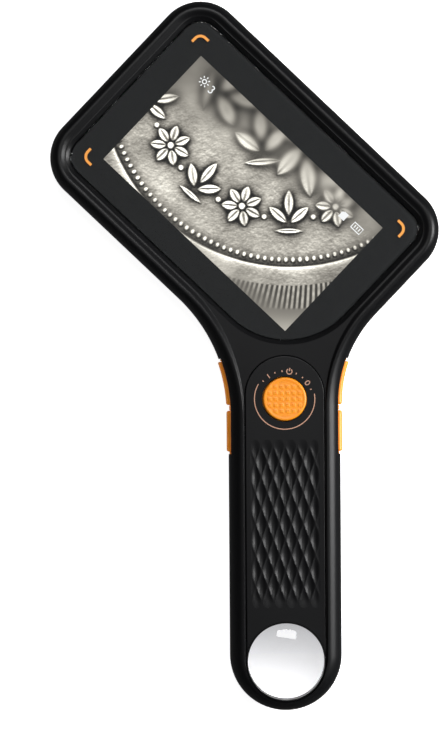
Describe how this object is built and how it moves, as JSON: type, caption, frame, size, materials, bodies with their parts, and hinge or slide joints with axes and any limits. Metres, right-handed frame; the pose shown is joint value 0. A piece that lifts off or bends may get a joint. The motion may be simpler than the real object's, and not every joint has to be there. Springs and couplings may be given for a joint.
{
  "type": "lcd digital microscope",
  "caption": "Hand-held digital microscope with a turned screen head, side keys, a round power button, a diamond grip and a magnifier lens in the handle's end.",
  "frame": {"origin": "middle of the outline in the plane that the back rests on", "axes": "+Z out of the screen, +Y up the handle towards the head, +X to the right seen from the front"},
  "size_m": [0.1384, 0.2529, 0.023],
  "materials": {
    "black_shell": "fine satin moulded texture",
    "panel_black": "satin",
    "clear_glass": "polished",
    "border_print": "printed black",
    "display_image": "lit picture of worn metal",
    "backlight_white": "diffusing",
    "orange_key": "satin",
    "clear_acrylic": "polished",
    "hood_black": "satin",
    "circuit_green": "lacquered",
    "steel": "plated",
    "led_white": "phosphor",
    "barrel_black": "anodised",
    "sensor_black": "coated",
    "battery_foil": "foil",
    "foam": "foam",
    "switch_black": "moulded"
  },
  "bodies": {
    "body": {"front_housing": "black_shell", "rear_housing": "black_shell", "screen_glass": "clear_glass", "screen_border": "border_print", "display_panel": "display_image", "backlight": "backlight_white", "grip_panel": "panel_black", "power_board": "circuit_green", "power_switch": "switch_black", "loupe_lens": "clear_acrylic", "loupe_ring": "panel_black", "lens_hood": "hood_black", "light_window": "clear_acrylic", "led_board": "circuit_green", "light_emitters": "led_white", "lens_barrel": "barrel_black", "camera_lens": "clear_glass", "lens_holder": "hood_black", "image_sensor": "sensor_black", "main_board": "circuit_green", "usb_socket": "steel", "card_socket": "steel", "battery": "battery_foil", "battery_pad": "foam", "housing_screws": "steel", "board_screws": "steel", "left_key_strip": "orange_key", "left_key_board": "circuit_green", "left_key_switches": "switch_black", "right_key_strip": "orange_key", "right_key_board": "circuit_green", "right_key_switches": "switch_black"},
    "power_button": {"power_button": "orange_key"},
    "left_upper_key": {"left_upper_key": "orange_key"},
    "left_lower_key": {"left_lower_key": "orange_key"},
    "right_upper_key": {"right_upper_key": "orange_key"},
    "right_lower_key": {"right_lower_key": "orange_key"}
  },
  "joints": [
    {"name": "power_press", "type": "slide", "parent": "body", "child": "power_button", "axis": [0, 0, -1], "range_m": [0, 0.0006], "stiffness_N_per_m": 700},
    {"name": "left_upper_press", "type": "slide", "parent": "body", "child": "left_upper_key", "axis": [1, 0, 0], "range_m": [0, 0.0004], "stiffness_N_per_m": 900},
    {"name": "left_lower_press", "type": "slide", "parent": "body", "child": "left_lower_key", "axis": [1, 0, 0], "range_m": [0, 0.0004], "stiffness_N_per_m": 900},
    {"name": "right_upper_press", "type": "slide", "parent": "body", "child": "right_upper_key", "axis": [-1, 0, 0], "range_m": [0, 0.0004], "stiffness_N_per_m": 900},
    {"name": "right_lower_press", "type": "slide", "parent": "body", "child": "right_lower_key", "axis": [-1, 0, 0], "range_m": [0, 0.0004], "stiffness_N_per_m": 900}
  ]
}
